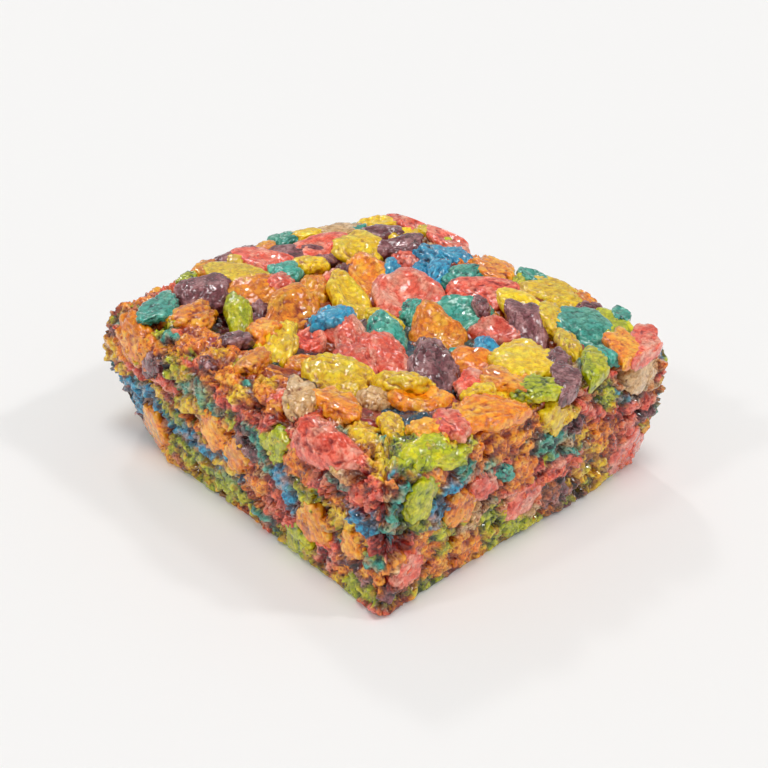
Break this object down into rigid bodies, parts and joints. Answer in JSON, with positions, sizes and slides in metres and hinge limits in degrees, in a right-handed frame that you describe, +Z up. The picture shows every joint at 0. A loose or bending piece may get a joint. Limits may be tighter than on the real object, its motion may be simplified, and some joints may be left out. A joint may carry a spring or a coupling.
{
  "type": "crispy cereal treat",
  "caption": "Knife-cut block of glossy puffed rice flakes in mixed bright colours bound with marshmallow, with a flat base and open, crumbly cut sides; a snack to eat in the hand.",
  "frame": {"origin": "middle of the flat base that the treat rests on", "axes": "+Z up out of the pressed top; the four cut sides face +X, -X, +Y and -Y; the soft corner is at -X and +Y"},
  "size_m": [0.078, 0.086, 0.0285],
  "materials": {
    "cereal": "glazed flakes in red, orange, yellow, lime, teal, plum and cream; porous and duller on the cut sides"
  },
  "bodies": {
    "root": {"treat": "cereal"}
  },
  "joints": []
}
